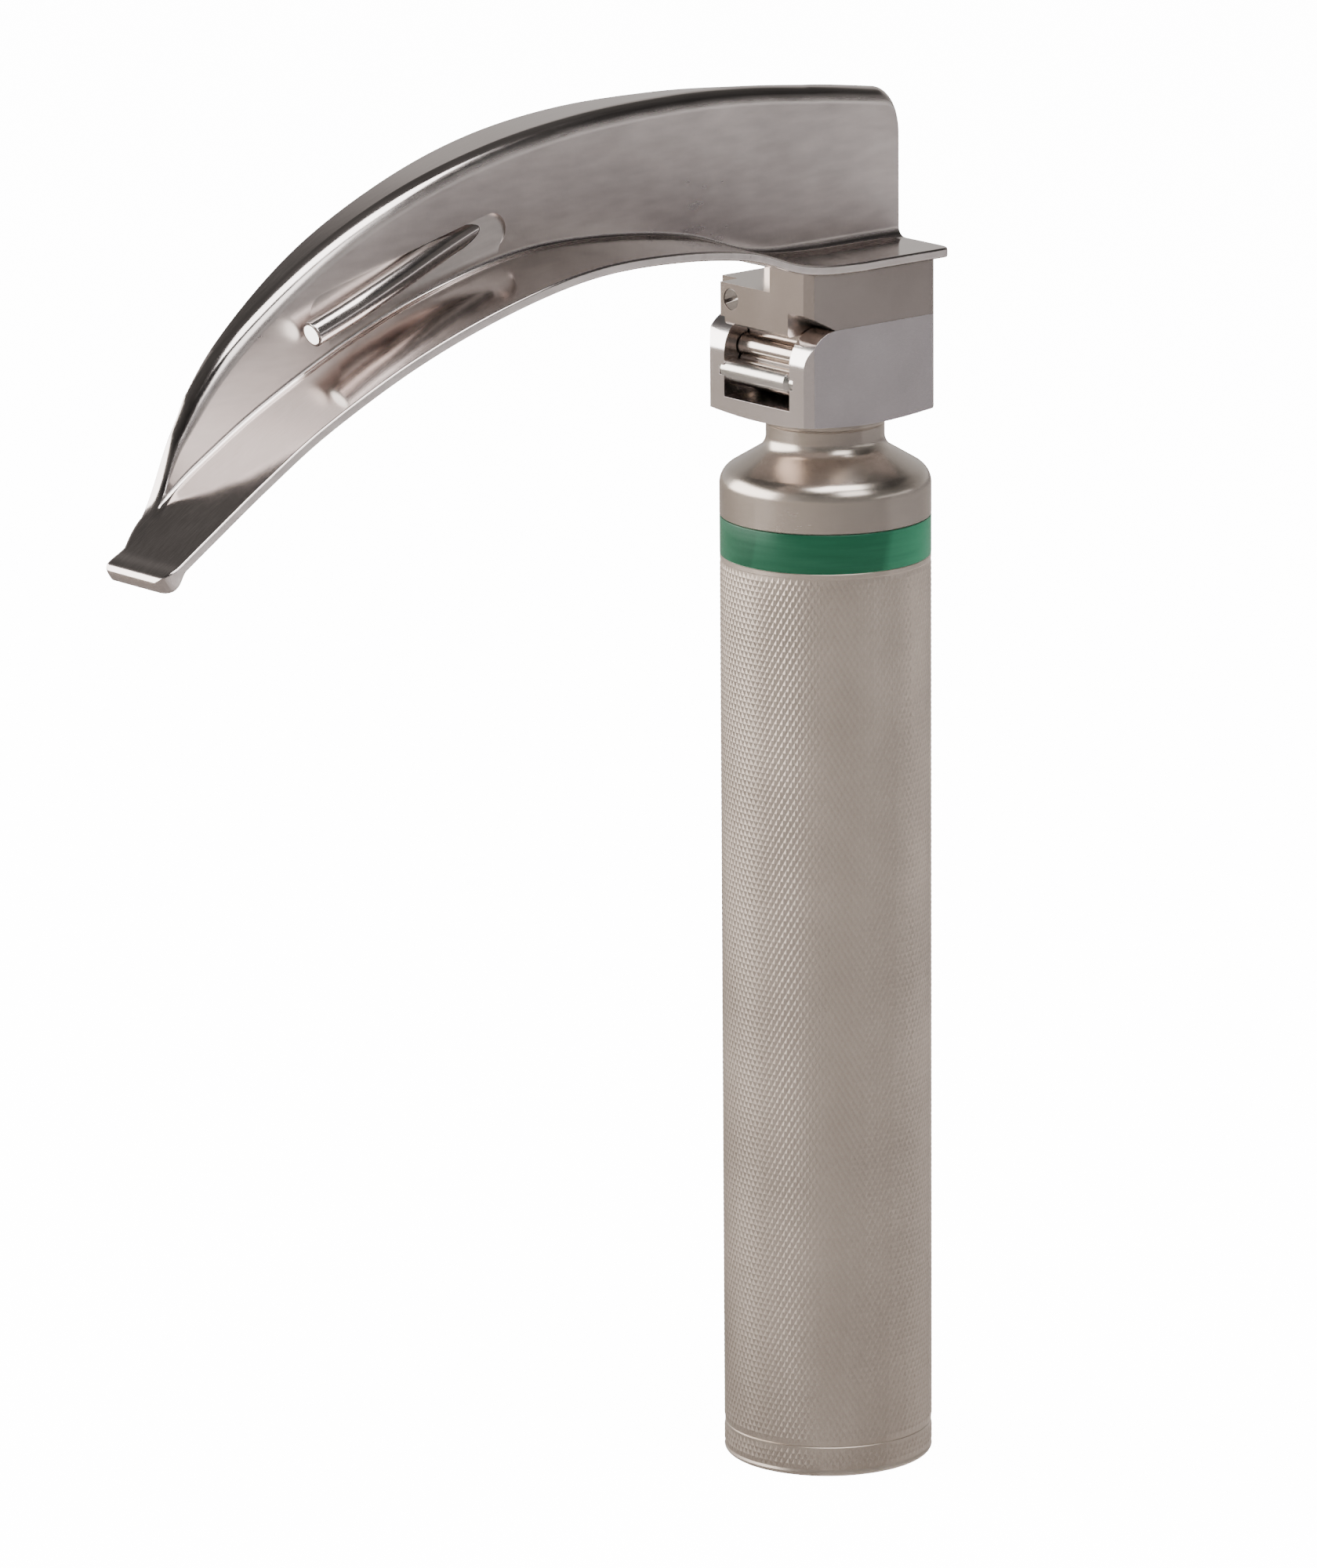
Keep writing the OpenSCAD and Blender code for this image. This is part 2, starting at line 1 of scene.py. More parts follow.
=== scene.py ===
"""Looks of a hook-on laryngoscope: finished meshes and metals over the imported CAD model.

Lengths in this file are millimetres unless a name ends in _m. Shapes of the blade are worked out in
"forward, right, up" terms, where forward is -X and right is -Y of the row frame, as in part.scad.
"""
import math

import bmesh
import bpy
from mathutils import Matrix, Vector


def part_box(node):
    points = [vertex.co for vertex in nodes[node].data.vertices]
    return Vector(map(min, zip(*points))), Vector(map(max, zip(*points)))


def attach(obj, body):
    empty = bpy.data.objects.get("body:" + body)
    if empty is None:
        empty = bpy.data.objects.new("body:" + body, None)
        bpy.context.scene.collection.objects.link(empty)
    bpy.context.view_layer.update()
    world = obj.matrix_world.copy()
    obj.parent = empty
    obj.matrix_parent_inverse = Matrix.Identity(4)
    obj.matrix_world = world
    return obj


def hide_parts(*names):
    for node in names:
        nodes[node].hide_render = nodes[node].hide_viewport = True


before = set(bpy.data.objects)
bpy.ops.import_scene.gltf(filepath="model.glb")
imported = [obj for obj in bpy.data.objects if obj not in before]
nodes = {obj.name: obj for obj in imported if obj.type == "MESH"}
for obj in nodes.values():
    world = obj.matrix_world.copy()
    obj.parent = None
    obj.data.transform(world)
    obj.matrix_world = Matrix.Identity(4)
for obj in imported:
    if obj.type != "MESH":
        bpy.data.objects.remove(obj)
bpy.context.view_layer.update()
MM = 0.001


# --- sizes shared with the CAD ---


def box_mm(node):
    low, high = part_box(node)
    return [c / MM for c in low], [c / MM for c in high]


def top_corner(node):
    return box_mm(node)[1]


CAP_TOP = box_mm("handle_tube")[0][2]
HANDLE_R, _, TUBE_TOP = top_corner("handle_tube")
RING_R, _, RING_TOP = top_corner("green_ring")
NECK_TOP = top_corner("handle_shoulder")[2]
COLLAR_R, _, HEAD_BOTTOM = top_corner("neck_collar")

# Wall of the tube and the ring in the visual model, and the bore inside the shoulder and collar
SLEEVE_T = 0.7
NECK_BORE_R = 5.4

# Shoulder: where its rim's round starts, then the rim, the slope in degrees, the neck and their fillet
SHOULDER_START = 133.2
SHOULDER_RIM_R = 2.8
SHOULDER_RISE = 31
NECK_R = 7.85
NECK_FILLET = 2.3

# Blade: sheet, flange and bead, then the web's two faces to the right of the middle
BLADE_T = 1.3
FLANGE_R = 2.4
BEAD_R = 1.3
WEB_NEAR = 0.2
WEB_FAR = WEB_NEAR - BLADE_T
# Heel plate: its top, its length to the full web, its ledge past the web and its corners' radii
HEEL_TOP = 164.5
HEEL_LENGTH = 14.8
HEEL_LEDGE = 8.4
HEEL_WEB_R = 3.5
HEEL_PLATE_R = 1.6
# Tip: the station where the web has run out, the slope in degrees, then the bead and the corners
WEB_END = 10
TIP_SLOPE = 34.8
BEAD_ALONG = 2.9
BEAD_TOP = 0.27
TIP_NEAR_R = 3
TIP_FAR_R = 1.3
# Pocket in the web: the middle of its back end, forward and up, then its length, drop in degrees and depth
POCKET_W = 4.6
POCKET_BACK = (56.4, 174.2)
POCKET_LENGTH = 28
POCKET_DROP = 14
POCKET_DEPTH = 0.95
# Light guide tube and the fibres in it
GUIDE_D = 3.4
FIBRE_D = 2.6

# Blade stations from heel to tip: the spatula's forward place and height, the web's lean in degrees and
# its height, then the near edge, the flange's far edge and the spatula's far edge.
STATIONS = [
    (-12.8, 164.5, 0, 17.3, 10.6, -2.6, -9.5),
    (2, 164.5, 0, 19.3, 10.6, -2.6, -9.5),
    (13, 165.6, 0, 19.3, 11.6, -2.9, -2.2),
    (24, 169, 2, 16.3, 13.1, -5.4, -1.1),
    (38, 170.8, 6, 14, 14.6, -7.7, -1.1),
    (52, 170.7, 12, 12.2, 15.2, -7.9, -1.1),
    (66, 167.8, 18, 11.3, 14.9, -6.6, -1.1),
    (80, 162.9, 24, 9.9, 14.1, -5.4, -1.1),
    (94, 156.4, 29, 7.2, 13.7, -3.4, -1.1),
    (104, 150.6, 32, 3.5, 13.7, -1.9, -1.1),
    (112.6, 145.15, 34.2, 0.1, 13.8, -1.5, -0.6),
    (117, 142.2, 34.8, 0, 13.7, 0, 1.5),
]

# Middle line of the light guide from the block's foot to its bright end: forward, right, up.
GUIDE = [
    (0, 0, 148.6), (-0.4, -1.36, 154), (-1, -3.4, 161), (-1, -3.5, 165), (3, -3.3, 171.5),
    (14, -3.1, 174.8), (28, -3.1, 176.5), (44, -3.1, 176.3), (53, -3, 175.2), (59, -1.9, 174.1),
    (66, -0.1, 172.4), (72, 1.2, 170.6), (78, 2.05, 168.6), (82, 2.2, 167.1), (87.4, 2.25, 165.2),
]


# --- mesh helpers ---


def place(forward, right, up):
    return Vector((-forward, -right, up)) * MM


def sind(a):
    return math.sin(math.radians(a))


def cosd(a):
    return math.cos(math.radians(a))


def blend(a, b, t):
    return a + (b - a) * t


def mix_points(a, b, t):
    return [tuple(blend(p, q, t) for p, q in zip(one, other)) for one, other in zip(a, b)]


def arc(centre, r, start, end, n):
    turns = [blend(start, end, i / n) for i in range(n + 1)]
    return [(centre[0] + r * cosd(a), centre[1] + r * sind(a)) for a in turns]


def steps(start, end, n):
    return [blend(start, end, i / n) for i in range(n + 1)]


def curve(points, u):
    """Catmull-Rom curve through a list of points, at place u counted in points."""
    i = min(int(math.floor(u)), len(points) - 2)
    t = u - i
    a, b, c, d = (points[min(max(k, 0), len(points) - 1)] for k in (i - 1, i, i + 1, i + 2))
    return [
        0.5 * (2 * q + (r - p) * t + (2 * p - 5 * q + 4 * r - s) * t * t + (3 * q - 3 * r + s - p) * t**3)
        for p, q, r, s in zip(a, b, c, d)
    ]


def new_object(name, mesh):
    obj = bpy.data.objects.new(name, mesh)
    bpy.context.scene.collection.objects.link(obj)
    return obj


def object_from(name, points, faces, smooth=True):
    mesh = bpy.data.meshes.new(name)
    mesh.from_pydata([tuple(p) for p in points], [], faces)
    mesh.validate()
    bm = bmesh.new()
    bm.from_mesh(mesh)
    bmesh.ops.recalc_face_normals(bm, faces=bm.faces)
    bm.to_mesh(mesh)
    bm.free()
    for face in mesh.polygons:
        face.use_smooth = smooth
    return new_object(name, mesh)


def skin(name, rings, closed_ends=True):
    n = len(rings[0])
    points = [p for ring in rings for p in ring]
    faces = [
        (i * n + j, i * n + (j + 1) % n, (i + 1) * n + (j + 1) % n, (i + 1) * n + j)
        for i in range(len(rings) - 1)
        for j in range(n)
    ]
    if closed_ends:
        faces.append(tuple(range(n - 1, -1, -1)))
        faces.append(tuple(range(len(points) - n, len(points))))
    return object_from(name, points, faces)


def lathe(name, outline, sides=180):
    """Turns a closed outline of (radius, height) points about the Z axis."""
    rings = []
    for i in range(sides):
        a = 360 * i / sides
        rings.append([Vector((r * cosd(a), r * sind(a), z)) * MM for r, z in outline])
    n = len(outline)
    points = [p for ring in rings for p in ring]
    faces = [
        (i * n + j, ((i + 1) % sides) * n + j, ((i + 1) % sides) * n + (j + 1) % n, i * n + (j + 1) % n)
        for i in range(sides)
        for j in range(n)
    ]
    obj = object_from(name, points, faces)
    crease_by_angle(obj, 28)
    return obj


def merge_close(obj, within_mm=0.0001):
    bm = bmesh.new()
    bm.from_mesh(obj.data)
    bmesh.ops.remove_doubles(bm, verts=bm.verts, dist=within_mm * MM)
    bm.to_mesh(obj.data)
    bm.free()


def crease_by_angle(obj, degrees):
    """Marks edges sharper than this as sharp, so that flats stay flat and rounds stay smooth."""
    bm = bmesh.new()
    bm.from_mesh(obj.data)
    for edge in bm.edges:
        if len(edge.link_faces) == 2 and edge.calc_face_angle(0) > math.radians(degrees):
            edge.smooth = False
    bm.to_mesh(obj.data)
    bm.free()


def weigh_normals(obj):
    """Lets broad flat faces keep their own normals where small rounded edges meet them."""
    weighted = obj.modifiers.new("normals", "WEIGHTED_NORMAL")
    weighted.keep_sharp = True
    weighted.weight = 60


def finish_cad(node, edge_r, segments=3, sharp=25):
    """A copy of a machined CAD node whose sharp edges are broken with a small round."""
    bm = bmesh.new()
    bm.from_mesh(nodes[node].data)
    bmesh.ops.remove_doubles(bm, verts=bm.verts, dist=0.002 * MM)
    bmesh.ops.dissolve_limit(bm, angle_limit=math.radians(0.4), verts=bm.verts, edges=bm.edges)
    edges = [e for e in bm.edges if len(e.link_faces) == 2 and e.calc_face_angle(0) > math.radians(sharp)]
    bmesh.ops.bevel(
        bm, geom=edges, offset=edge_r * MM, offset_type="OFFSET", segments=segments, profile=0.5,
        affect="EDGES", clamp_overlap=True,
    )
    mesh = bpy.data.meshes.new(node + "_finished")
    bm.to_mesh(mesh)
    bm.free()
    for face in mesh.polygons:
        face.use_smooth = True
    obj = new_object(node + "_finished", mesh)
    weigh_normals(obj)
    return obj


# --- materials ---


class Shader:
    """One Principled material with short calls for its node network, in object coordinates."""

    def __init__(self, name, colour, roughness, metallic=1.0):
        self.name = name
        self.material = bpy.data.materials.new(name)
        self.material.use_nodes = True
        self.tree = self.material.node_tree
        self.bsdf = self.tree.nodes["Principled BSDF"]
        self.bsdf.inputs["Base Color"].default_value = (*colour, 1)
        self.bsdf.inputs["Roughness"].default_value = roughness
        self.bsdf.inputs["Metallic"].default_value = metallic
        places = self.add("ShaderNodeTexCoord")
        self.coords = places.outputs["Object"]
        self.normals = places.outputs["Normal"]

    def add(self, kind, **values):
        node = self.tree.nodes.new(kind)
        for key, value in values.items():
            if hasattr(node, key):
                setattr(node, key, value)
            else:
                node.inputs[key.replace("_", " ")].default_value = value
        return node

    def link(self, out, to):
        self.tree.links.new(out, to)

    def stretched(self, per_mm):
        """Object coordinates scaled to so many cycles a millimetre along X, Y and Z."""
        mapping = self.add("ShaderNodeMapping")
        mapping.inputs["Scale"].default_value = [s / MM for s in per_mm]
        self.link(self.coords, mapping.inputs["Vector"])
        return mapping.outputs["Vector"]

    def noise(self, per_mm, detail=3.0, rough=0.5):
        texture = self.add("ShaderNodeTexNoise")
        texture.inputs["Scale"].default_value = 1
        texture.inputs["Detail"].default_value = detail
        texture.inputs["Roughness"].default_value = rough
        self.link(self.stretched(per_mm), texture.inputs["Vector"])
        return texture.outputs["Fac"]

    def remap(self, value, low, high, to_low, to_high):
        node = self.add("ShaderNodeMapRange")
        for socket, number in zip(("From Min", "From Max", "To Min", "To Max"), (low, high, to_low, to_high)):
            node.inputs[socket].default_value = number
        self.link(value, node.inputs["Value"])
        return node.outputs["Result"]

    def math(self, operation, a, b=None):
        node = self.add("ShaderNodeMath", operation=operation)
        for socket, value in zip(node.inputs, (a, b)):
            if value is None:
                continue
            if isinstance(value, (int, float)):
                socket.default_value = value
            else:
                self.link(value, socket)
        return node.outputs[0]

    def tint(self, value, low, high, to_socket="Base Color"):
        """Blends two colours by a value from 0 to 1."""
        ramp = self.add("ShaderNodeValToRGB")
        ramp.color_ramp.elements[0].color = (*low, 1)
        ramp.color_ramp.elements[1].color = (*high, 1)
        self.link(value, ramp.inputs["Fac"])
        self.link(ramp.outputs["Color"], self.bsdf.inputs[to_socket])

    def bump(self, height, strength, depth_mm):
        node = self.add("ShaderNodeBump")
        node.inputs["Strength"].default_value = strength
        node.inputs["Distance"].default_value = depth_mm * MM
        self.link(height, node.inputs["Height"])
        self.link(node.outputs["Normal"], self.bsdf.inputs["Normal"])

    def use(self, *objs):
        for obj in objs:
            obj.data.materials.clear()
            obj.data.materials.append(self.material)


def darker(colour, share):
    return tuple(c * share for c in colour)


def metal(name, colour, roughness, spread, grain, cloud=0.06, variation=0.9, scratch=0.012, sides=0):
    """Steel or chrome: clouds of polish in the roughness, and a fine directional grain in the bump.

    sides is how much rougher the faces are that look along Y, which on the blade are the web's.
    """
    shader = Shader(name, colour, roughness)
    clouds = shader.noise((cloud, cloud, cloud), detail=3)
    lines = shader.noise(grain, detail=2)
    both = shader.math("ADD", shader.math("MULTIPLY", clouds, 0.6), shader.math("MULTIPLY", lines, 0.4))
    rough = shader.remap(both, 0.3, 0.7, roughness - spread, roughness + spread)
    if sides:
        split = shader.add("ShaderNodeSeparateXYZ")
        shader.link(shader.normals, split.inputs[0])
        facing = shader.remap(shader.math("ABSOLUTE", split.outputs["Y"]), 0.75, 0.97, 0, sides)
        rough = shader.math("ADD", rough, facing)
    shader.link(rough, shader.bsdf.inputs["Roughness"])
    shader.tint(shader.remap(both, 0.3, 0.7, 0, 1), darker(colour, variation), colour)
    shader.bump(lines, 0.35, scratch)
    return shader


BLADE_COLOUR = (0.64, 0.575, 0.55)
HANDLE_COLOUR = (0.47, 0.4, 0.345)

blade_metal = metal(
    "blade_metal", BLADE_COLOUR, 0.13, 0.04, (0.2, 6, 0.8),
    cloud=0.05, variation=0.78, scratch=0.002, sides=0.17,
)
guide_metal = metal("guide_metal", BLADE_COLOUR, 0.16, 0.05, (0.5, 6, 6), scratch=0.003)
block_metal = metal("block_metal", (0.56, 0.49, 0.445), 0.17, 0.04, (2, 2, 14), scratch=0.004)
head_metal = metal("head_metal", (0.82, 0.76, 0.75), 0.16, 0.04, (2, 2, 14), scratch=0.004)
pin_metal = metal("pin_metal", (0.62, 0.59, 0.55), 0.24, 0.05, (9, 0.5, 9), scratch=0.003)
# The guide screw's steel is painted darker than the other steels: painted shade for the dark middle of its
# head, which sits in a hole.
screw_metal = metal("screw_metal", (0.3, 0.27, 0.25), 0.22, 0.06, (8, 8, 8))
shoulder_metal = metal("shoulder_metal", (0.5, 0.435, 0.38), 0.24, 0.04, (0.6, 0.6, 12), scratch=0.003)
handle_metal = metal("handle_metal", HANDLE_COLOUR, 0.36, 0.05, (5, 5, 5), variation=0.86)
spring_steel = metal("spring_steel", (0.7, 0.7, 0.7), 0.25, 0.05, (6, 6, 6))
contact_brass = metal("contact_brass", (0.78, 0.6, 0.28), 0.3, 0.08, (4, 4, 4))


def green_finish():
    """Satin anodised green: slow streaks round the ring and a fine orange peel."""
    shader = Shader("ring_green", (0.004, 0.06, 0.028), 0.3, metallic=0.3)
    streaks = shader.noise((0.08, 0.08, 1.2), detail=4)
    shader.tint(shader.remap(streaks, 0.3, 0.7, 0, 1), (0.002, 0.05, 0.023), (0.006, 0.072, 0.035))
    shader.link(shader.remap(streaks, 0.3, 0.7, 0.3, 0.42), shader.bsdf.inputs["Roughness"])
    shader.bump(shader.noise((7, 7, 7), detail=2), 0.2, 0.006)
    return shader


FIBRE_GLOW = 4


def fibre_finish():
    """Polished fibre ends: a packed field of tiny discs, drawn lit in every pose."""
    shader = Shader("fibre", (0.93, 0.91, 0.85), 0.25, metallic=0)
    cells = shader.add("ShaderNodeTexVoronoi")
    cells.inputs["Scale"].default_value = 1
    shader.link(shader.stretched((14, 14, 14)), cells.inputs["Vector"])
    ends = shader.remap(cells.outputs["Distance"], 0.1, 0.7, 1, 0)
    shader.tint(ends, (0.8, 0.77, 0.68), (0.97, 0.96, 0.92))
    shader.bsdf.inputs["Emission Color"].default_value = (1, 0.97, 0.92, 1)
    shader.bsdf.inputs["Emission Strength"].default_value = FIBRE_GLOW
    shader.bump(ends, 0.2, 0.01)
    return shader


def moulded(name, colour, roughness, grain=6):
    """Plain moulded plastic or rubber with a fine skin."""
    shader = Shader(name, colour, roughness, metallic=0)
    skin_noise = shader.noise((grain, grain, grain), detail=3)
    shader.tint(shader.remap(skin_noise, 0.3, 0.7, 0, 1), darker(colour, 0.85), colour)
    rough = shader.remap(skin_noise, 0.3, 0.7, roughness - 0.08, roughness + 0.08)
    shader.link(rough, shader.bsdf.inputs["Roughness"])
    shader.bump(skin_noise, 0.3, 0.02)
    return shader


def clear_glass(name, colour):
    shader = Shader(name, colour, 0.06, metallic=0)
    shader.bsdf.inputs["Transmission Weight"].default_value = 0.9
    shader.bsdf.inputs["IOR"].default_value = 1.48
    shader.bump(shader.noise((2, 2, 2), detail=2), 0.1, 0.004)
    return shader


ring_green = green_finish()
fibre = fibre_finish()
insulator = moulded("insulator", (0.82, 0.8, 0.74), 0.45)
seal_rubber = moulded("seal_rubber", (0.02, 0.02, 0.021), 0.6)
battery_jacket = moulded("battery_jacket", (0.5, 0.3, 0.12), 0.35, grain=2)
window_glass = clear_glass("window_glass", (0.93, 0.96, 0.98))
lamp_glass = clear_glass("lamp_glass", (0.95, 0.94, 0.9))


def stand_for(piece, node, body, shader):
    """Puts a piece in place of a CAD node, on the same body and in its own finish."""
    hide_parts(node)
    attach(piece, body)
    shader.use(piece)


# --- handle ---

KNURL_AROUND = 102
KNURL_RISE = 1.53
KNURL_DEPTH = 0.1


def knurled(name, low, high, bore_r, bottom, top):
    """A sleeve whose side is cut with a diamond knurl between two heights.

    bottom and top are outlines of (radius, height) that close it down to the bore. Points stand on a grid of
    half steps: every other one is the tip of a diamond, and the grooves run between the rest.
    """
    columns = 2 * KNURL_AROUND
    rows = 2 * round((high - low) / KNURL_RISE)
    outlines = []
    for i in range(columns):
        a = 360 * i / columns
        side = []
        for j in range(rows + 1):
            end = j in (0, rows)
            r = HANDLE_R - (KNURL_DEPTH if (i + j) % 2 or end else 0)
            side.append((r, blend(low, high, j / rows)))
        outline = [(bore_r, bottom[0][1])] + bottom + side + top + [(bore_r, top[-1][1])]
        outlines.append([Vector((r * cosd(a), r * sind(a), z)) * MM for r, z in outline])
    n = len(outlines[0])
    first = 1 + len(bottom)
    points = [p for ring in outlines for p in ring]
    faces = []
    for i in range(columns):
        k = (i + 1) % columns
        for j in range(n):
            m = (j + 1) % n
            a, b, c, d = i * n + j, k * n + j, k * n + m, i * n + m
            row = j - first
            if not 0 <= row < rows:
                faces.append((a, b, c, d))
            elif (i + row) % 2:
                faces += [(a, b, c), (a, c, d)]
            else:
                faces += [(a, b, d), (b, c, d)]
    obj = object_from(name, points, faces, smooth=False)
    merge_close(obj)
    return obj


def build_handle():
    bore_r = HANDLE_R - SLEEVE_T
    edge = HANDLE_R - KNURL_DEPTH
    tube = knurled(
        "knurled_tube", CAP_TOP + 0.25, TUBE_TOP - 0.75, bore_r,
        [(edge - 0.12, CAP_TOP), (edge, CAP_TOP + 0.12)],
        [(HANDLE_R - 0.03, TUBE_TOP - 0.65), (HANDLE_R - 0.03, TUBE_TOP - 0.1), (HANDLE_R - 0.13, TUBE_TOP)],
    )
    stand_for(tube, "handle_tube", "handle", handle_metal)

    soft = 0.12
    ring = lathe(
        "colour_ring",
        [(RING_R - SLEEVE_T, TUBE_TOP)]
        + arc((HANDLE_R - 0.01 - soft, TUBE_TOP + soft), soft, 270, 360, 4)
        + arc((HANDLE_R - 0.01 - soft, RING_TOP - soft), soft, 0, 90, 4)
        + [(RING_R - SLEEVE_T, RING_TOP)],
    )
    stand_for(ring, "green_ring", "handle", ring_green)

    rim = arc((HANDLE_R - SHOULDER_RIM_R, SHOULDER_START), SHOULDER_RIM_R, 0, 90 - SHOULDER_RISE, 20)
    end = rim[-1]
    run = (end[0] + NECK_FILLET * sind(SHOULDER_RISE) - NECK_R - NECK_FILLET) / cosd(SHOULDER_RISE)
    foot = (end[0] - run * cosd(SHOULDER_RISE), end[1] + run * sind(SHOULDER_RISE))
    centre = (foot[0] + NECK_FILLET * sind(SHOULDER_RISE), foot[1] + NECK_FILLET * cosd(SHOULDER_RISE))
    shoulder = lathe(
        "turned_shoulder",
        [(NECK_BORE_R, RING_TOP), (HANDLE_R - 0.2, RING_TOP), (HANDLE_R, RING_TOP + 0.2)]
        + rim
        + arc(centre, NECK_FILLET, 270 - SHOULDER_RISE, 180, 16)
        + [(NECK_R, NECK_TOP), (NECK_BORE_R, NECK_TOP)],
    )
    stand_for(shoulder, "handle_shoulder", "handle", shoulder_metal)

    collar = lathe(
        "turned_collar",
        [(NECK_BORE_R, NECK_TOP), (COLLAR_R - 0.25, NECK_TOP)]
        + arc((COLLAR_R - 0.4, NECK_TOP + 0.5), 0.4, -60, 0, 5)
        + arc((COLLAR_R - 0.4, HEAD_BOTTOM - 0.5), 0.4, 0, 60, 5)
        + [(COLLAR_R - 0.25, HEAD_BOTTOM), (NECK_BORE_R, HEAD_BOTTOM)],
    )
    stand_for(collar, "neck_collar", "handle", shoulder_metal)


def build_cap():
    edge = 0.76
    bore_r = 11.2
    groove_r = 12.25
    spigot_r = HANDLE_R - 0.78
    spigot_top = box_mm("end_cap")[1][2]
    floor_top = box_mm("spring_seat")[0][2]
    side = HANDLE_R - KNURL_DEPTH
    cap = knurled(
        "knurled_cap", 0.95, CAP_TOP - 0.3, 0,
        [(HANDLE_R - edge, 0)] + arc((HANDLE_R - edge, edge), edge, 285, 350, 8),
        [(side, CAP_TOP - 0.12), (side - 0.12, CAP_TOP), (spigot_r, CAP_TOP), (spigot_r, CAP_TOP + 0.9),
         (groove_r, CAP_TOP + 0.9), (groove_r, CAP_TOP + 2.1), (spigot_r, CAP_TOP + 2.1),
         (spigot_r, spigot_top - 0.5), (spigot_r - 0.5, spigot_top), (bore_r, spigot_top),
         (bore_r, floor_top)],
    )
    stand_for(cap, "end_cap", "cap", handle_metal)


# --- blade ---


def near_edge(near, top, bottom, n=6):
    """The rounded edge that every section starts with, from its underside to its top."""
    soft = min(0.35, 0.3 * (top - bottom))
    lower = arc((near - soft, bottom + soft), soft, 270, 360, n)
    upper = arc((near - soft, top - soft), soft, 0, 90, n)
    return lower + upper


def web_section(s):
    """One section of the blade in its web part, as places to the right and up from the spatula's top."""
    rise = max(s[3], 0.1)
    ledge = max(WEB_FAR - s[6], 0)
    share = ledge / HEEL_LEDGE
    fillet = min(blend(0.7, 1.5, min(share, 1)), 0.02 + 0.5 * rise)
    turn = min(FLANGE_R, 0.2 + 0.45 * rise)
    flange_t = min(BLADE_T, 0.2 + 0.35 * rise)
    inner = max(turn - BLADE_T, 0.06)
    top = rise + turn
    far_edge = min(s[5], WEB_FAR - inner - 0.1)
    soft = 0.3 * flange_t
    lip = 0.3
    return (
        near_edge(s[4], 0, -BLADE_T)
        + arc((WEB_NEAR + fillet, fillet), fillet, 270, 180, 10)
        + arc((WEB_NEAR - turn, rise), turn, 0, 90, 20)
        + arc((far_edge + soft, top - soft), soft, 90, 180, 5)
        + arc((far_edge + soft, top - flange_t + soft), soft, 180, 270, 5)
        + arc((WEB_FAR - inner, top - flange_t - inner), inner, 90, 0, 8)
        + [(WEB_FAR, -0.2 * (1 - share)), (WEB_FAR - ledge, -0.5 * (1 - share))]
        + arc((WEB_FAR - ledge + lip, lip - BLADE_T), lip, 180, 270, 5)
    )


def flat_section(near, far, top, bottom):
    """The same number of points around a plain flat section."""
    depth = top - bottom
    soft = min(0.3, 0.3 * depth)
    side = [(far, blend(top - soft, bottom + soft, (i + 1) / 18)) for i in range(17)]
    return (
        near_edge(near, top, bottom)
        + [(far + 4 - 0.12 * i, top) for i in range(11)]
        + [(far + 2.6 - 0.1 * i, top) for i in range(21)]
        + arc((far + soft, top - soft), soft, 90, 180, 5)
        + side
        + arc((far + soft, bottom + soft), soft, 180, 270, 5)
    )


def stand(section, forward, up, lean):
    return [place(forward + h * sind(lean), right, up + h * cosd(lean)) for right, h in section]


def station(u):
    s = curve(STATIONS, u)
    s[1] = max(s[1], HEEL_TOP if u < 2 else 0)
    s[6] = min(s[6], WEB_FAR if u < WEB_END - 1 else 99)
    return s


def corner_loss(along, r):
    """How much a rounded corner takes off at a distance along from it."""
    return 0 if along >= r else r - math.sqrt(r * r - (r - along) ** 2)


def heel_station(along):
    s = station(along / HEEL_LENGTH)
    s[3] -= corner_loss(along, HEEL_WEB_R)
    s[4] -= corner_loss(along, HEEL_PLATE_R)
    s[6] += corner_loss(along, HEEL_PLATE_R)
    return s


def web_ring(s, u):
    fade = min(max(u - WEB_END + 1, 0), 1) ** 2
    plain = flat_section(s[4], min(s[6], 0), 0, -BLADE_T)
    return stand(mix_points(web_section(s), plain, fade), s[0], s[1], s[2])


def ease(t):
    return (1 - cosd(180 * min(max(t, 0), 1))) / 2


def tip_ring(along):
    end = STATIONS[-1]
    past = along - BEAD_ALONG
    middle = BEAD_TOP - BEAD_R
    round_part = math.sqrt(max(BEAD_R**2 - past * past, 0))
    if past < 0:
        top = BEAD_TOP * ease(along / BEAD_ALONG)
        bottom = blend(-BLADE_T, middle - BEAD_R, ease(along / BEAD_ALONG))
    else:
        top, bottom = middle + round_part, middle - round_part
    left = BEAD_ALONG + BEAD_R - along
    near = end[4] - corner_loss(left, TIP_NEAR_R)
    far = end[6] + corner_loss(left, TIP_FAR_R)
    return stand(
        flat_section(near, far, top, bottom),
        end[0] + along * cosd(TIP_SLOPE), end[1] - along * sind(TIP_SLOPE), TIP_SLOPE,
    )


def build_blade():
    heel = [heel_station(HEEL_LENGTH * t) for t in (v**1.8 for v in steps(0.008, 0.98, 26))]
    rings = [web_ring(s, 0) for s in heel]
    rings += [web_ring(station(u), u) for u in steps(1, WEB_END, 200)]
    for u in steps(WEB_END + 0.06, WEB_END + 0.94, 14):
        s = station(u)
        rings.append(stand(flat_section(s[4], s[6], 0, -BLADE_T), s[0], s[1], s[2]))
    full = BEAD_ALONG + BEAD_R
    rings += [tip_ring(full * sind(90 * v)) for v in steps(0, 0.985, 40)]
    blade = skin("polished_blade", rings)

    cut_blade(blade)
    crease_by_angle(blade, 35)
    weigh_normals(blade)
    stand_for(blade, "blade_body", "blade", blade_metal)


